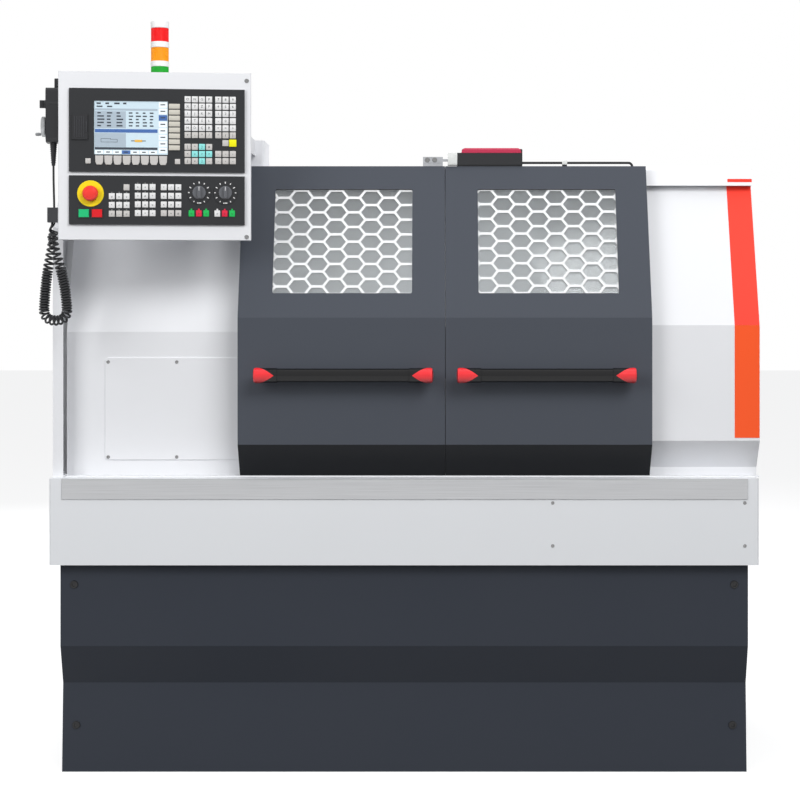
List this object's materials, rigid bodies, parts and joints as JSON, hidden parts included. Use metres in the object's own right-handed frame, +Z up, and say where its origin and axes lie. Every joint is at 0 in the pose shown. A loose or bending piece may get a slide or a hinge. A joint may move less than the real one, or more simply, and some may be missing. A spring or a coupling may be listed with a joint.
{
  "type": "cnc turning lathe",
  "caption": "Enclosed flat-bed CNC turning lathe with two sliding window doors, swivelling operator panel and tower light.",
  "frame": {"origin": "on the floor under the middle of the chip tray's width, 500 mm behind the door plane", "axes": "+X to the operator's right, +Y to the back, +Z up"},
  "size_m": [1.7484, 1.2194, 1.921],
  "materials": {
    "slate_paint": "fine textured satin paint",
    "door_paint": "fine textured satin paint",
    "white_paint": "fine textured satin paint",
    "trim_steel": "lengthwise brushed",
    "guard_white": "powder coated",
    "pane": "laminated safety glass",
    "handle_black": "glossy",
    "black_plastic": "fine matt texture",
    "panel_black": "fine matt film",
    "stop_red": "glossy",
    "start_green": "glossy",
    "halt_red": "glossy",
    "cast_iron": "painted and machined",
    "machined_steel": "ground",
    "motor_black": "satin paint",
    "belt_rubber": "ribbed",
    "cord_black": "smooth",
    "lens": "clear coloured",
    "aluminium": "satin",
    "wheel_grey": "smoky clear"
  },
  "bodies": {
    "root": {"base_cabinet": "slate_paint", "base_front_panel": "slate_paint", "chip_tray": "white_paint", "tray_trim_strip": "trim_steel", "bed": "cast_iron", "headstock": "cast_iron", "left_cover": "white_paint", "left_end_panel": "white_paint", "access_panel": "white_paint", "right_cover": "white_paint", "roof_panel": "white_paint", "rear_panel": "white_paint", "electrical_cabinet": "white_paint", "door_rails": "machined_steel", "panel_arm": "white_paint", "tower_stem": "black_plastic", "tower_lenses": "lens", "spindle_motor": "motor_black", "drive_belt": "belt_rubber", "z_servo_motor": "motor_black"},
    "spindle_line": {"spindle": "machined_steel", "spindle_pulley": "aluminium", "chuck_body": "machined_steel"},
    "jaw_1": {"chuck_jaw_1": "machined_steel"},
    "jaw_2": {"chuck_jaw_2": "machined_steel"},
    "jaw_3": {"chuck_jaw_3": "machined_steel"},
    "motor_drive": {"motor_pulley": "aluminium"},
    "feed_screw": {"z_ballscrew": "machined_steel"},
    "saddle_body": {"saddle": "cast_iron"},
    "cross_slide_body": {"cross_slide": "cast_iron"},
    "turret": {"turret_head": "machined_steel", "turret_tools": "machined_steel"},
    "tailstock": {"tailstock_body": "cast_iron"},
    "quill": {"tailstock_quill": "machined_steel"},
    "hand_wheel": {"tailstock_handwheel": "aluminium"},
    "left_door_body": {"left_door": "door_paint", "left_window": "pane", "left_mesh": "guard_white", "left_handle": "handle_black", "interlock_key": "machined_steel"},
    "right_door_body": {"right_door": "door_paint", "right_window": "pane", "right_mesh": "guard_white", "right_handle": "handle_black", "interlock_switch": "black_plastic", "interlock_cable": "cord_black"},
    "box": {"control_box": "white_paint", "operator_panel": "panel_black", "machine_panel": "panel_black", "pendant_body": "black_plastic", "pendant_cord": "cord_black", "pendant_coil": "cord_black"},
    "estop": {"estop_button": "stop_red"},
    "start": {"start_button": "start_green"},
    "stop": {"stop_button": "halt_red"},
    "feed_knob": {"feed_dial": "black_plastic"},
    "spindle_knob": {"spindle_dial": "black_plastic"},
    "port_flap": {"usb_flap": "black_plastic"},
    "pulse_wheel": {"pendant_wheel": "wheel_grey"},
    "axis_knob": {"pendant_knob": "black_plastic"}
  },
  "joints": [
    {"name": "left_door_slide", "type": "slide", "parent": "root", "child": "left_door_body", "axis": [-1, 0, 0], "range_m": [0, 0.427]},
    {"name": "right_door_slide", "type": "slide", "parent": "root", "child": "right_door_body", "axis": [1, 0, 0], "range_m": [0, 0.26]},
    {"name": "spindle_turn", "type": "hinge", "parent": "root", "child": "spindle_line", "pos_m": [-0.4, -0.08, 1.01], "axis": [1, 0, 0], "continuous": true},
    {"name": "motor_pulley_turn", "type": "hinge", "parent": "root", "child": "motor_drive", "pos_m": [-0.7, 0.19, 0.77], "axis": [1, 0, 0], "continuous": true},
    {"name": "jaw_1_slide", "type": "slide", "parent": "spindle_line", "child": "jaw_1", "axis": [0, 0, 1], "range_m": [-0.006, 0.006]},
    {"name": "jaw_2_slide", "type": "slide", "parent": "spindle_line", "child": "jaw_2", "axis": [0, -0.866, -0.5], "range_m": [-0.006, 0.006]},
    {"name": "jaw_3_slide", "type": "slide", "parent": "spindle_line", "child": "jaw_3", "axis": [0, 0.866, -0.5], "range_m": [-0.006, 0.006]},
    {"name": "z_screw_turn", "type": "hinge", "parent": "root", "child": "feed_screw", "pos_m": [0.1, -0.276, 0.775], "axis": [1, 0, 0], "range_deg": [-11340, 5040]},
    {"name": "z_axis_slide", "type": "slide", "parent": "root", "child": "saddle_body", "axis": [1, 0, 0], "range_m": [-0.315, 0.14]},
    {"name": "x_axis_slide", "type": "slide", "parent": "saddle_body", "child": "cross_slide_body", "axis": [0, 1, 0], "range_m": [-0.15, 0]},
    {"name": "turret_turn", "type": "hinge", "parent": "cross_slide_body", "child": "turret", "pos_m": [0.08, 0.18, 1.01], "axis": [1, 0, 0], "continuous": true},
    {"name": "tailstock_slide", "type": "slide", "parent": "root", "child": "tailstock", "axis": [1, 0, 0], "range_m": [-0.05, 0.06]},
    {"name": "handwheel_turn", "type": "hinge", "parent": "tailstock", "child": "hand_wheel", "pos_m": [0.71, -0.08, 1.01], "axis": [1, 0, 0], "range_deg": [0, 7200]},
    {"name": "quill_slide", "type": "slide", "parent": "tailstock", "child": "quill", "axis": [-1, 0, 0], "range_m": [0, 0.1]},
    {"name": "panel_swivel", "type": "hinge", "parent": "root", "child": "box", "pos_m": [-0.412, -0.415, 1.6], "axis": [0, 0, 1], "range_deg": [-6, 45]},
    {"name": "estop_press", "type": "slide", "parent": "box", "child": "estop", "axis": [-0.1045, 0.9945, 0], "range_m": [0, 0.004], "stiffness_N_per_m": 900},
    {"name": "start_press", "type": "slide", "parent": "box", "child": "start", "axis": [-0.1045, 0.9945, 0], "range_m": [0, 0.002], "stiffness_N_per_m": 600},
    {"name": "stop_press", "type": "slide", "parent": "box", "child": "stop", "axis": [-0.1045, 0.9945, 0], "range_m": [0, 0.002], "stiffness_N_per_m": 600},
    {"name": "feed_dial_turn", "type": "hinge", "parent": "box", "child": "feed_knob", "pos_m": [-0.48679, -0.57259, 1.4085], "axis": [0.1045, -0.9945, 0], "range_deg": [-150, 150]},
    {"name": "spindle_dial_turn", "type": "hinge", "parent": "box", "child": "spindle_knob", "pos_m": [-0.42512, -0.56611, 1.4085], "axis": [0.1045, -0.9945, 0], "range_deg": [-150, 150]},
    {"name": "port_flap_hinge", "type": "hinge", "parent": "box", "child": "port_flap", "pos_m": [-0.78312, -0.60404, 1.5625], "axis": [0, 0, -1], "range_deg": [0, 110]},
    {"name": "pulse_wheel_turn", "type": "hinge", "parent": "box", "child": "pulse_wheel", "pos_m": [-0.8535, -0.55432, 1.567], "axis": [-0.9945, -0.1045, 0], "continuous": true},
    {"name": "axis_knob_turn", "type": "hinge", "parent": "box", "child": "axis_knob", "pos_m": [-0.8535, -0.55432, 1.621], "axis": [-0.9945, -0.1045, 0], "range_deg": [-75, 75]}
  ],
  "couplings": [
    {"joint": "motor_pulley_turn", "follows": "spindle_turn", "ratio": 1.6},
    {"joint": "jaw_2_slide", "follows": "jaw_1_slide", "ratio": 1},
    {"joint": "jaw_3_slide", "follows": "jaw_1_slide", "ratio": 1},
    {"joint": "z_screw_turn", "follows": "z_axis_slide", "rad_per_m": 628.32},
    {"joint": "quill_slide", "follows": "handwheel_turn", "m_per_rad": 0.00079577}
  ]
}
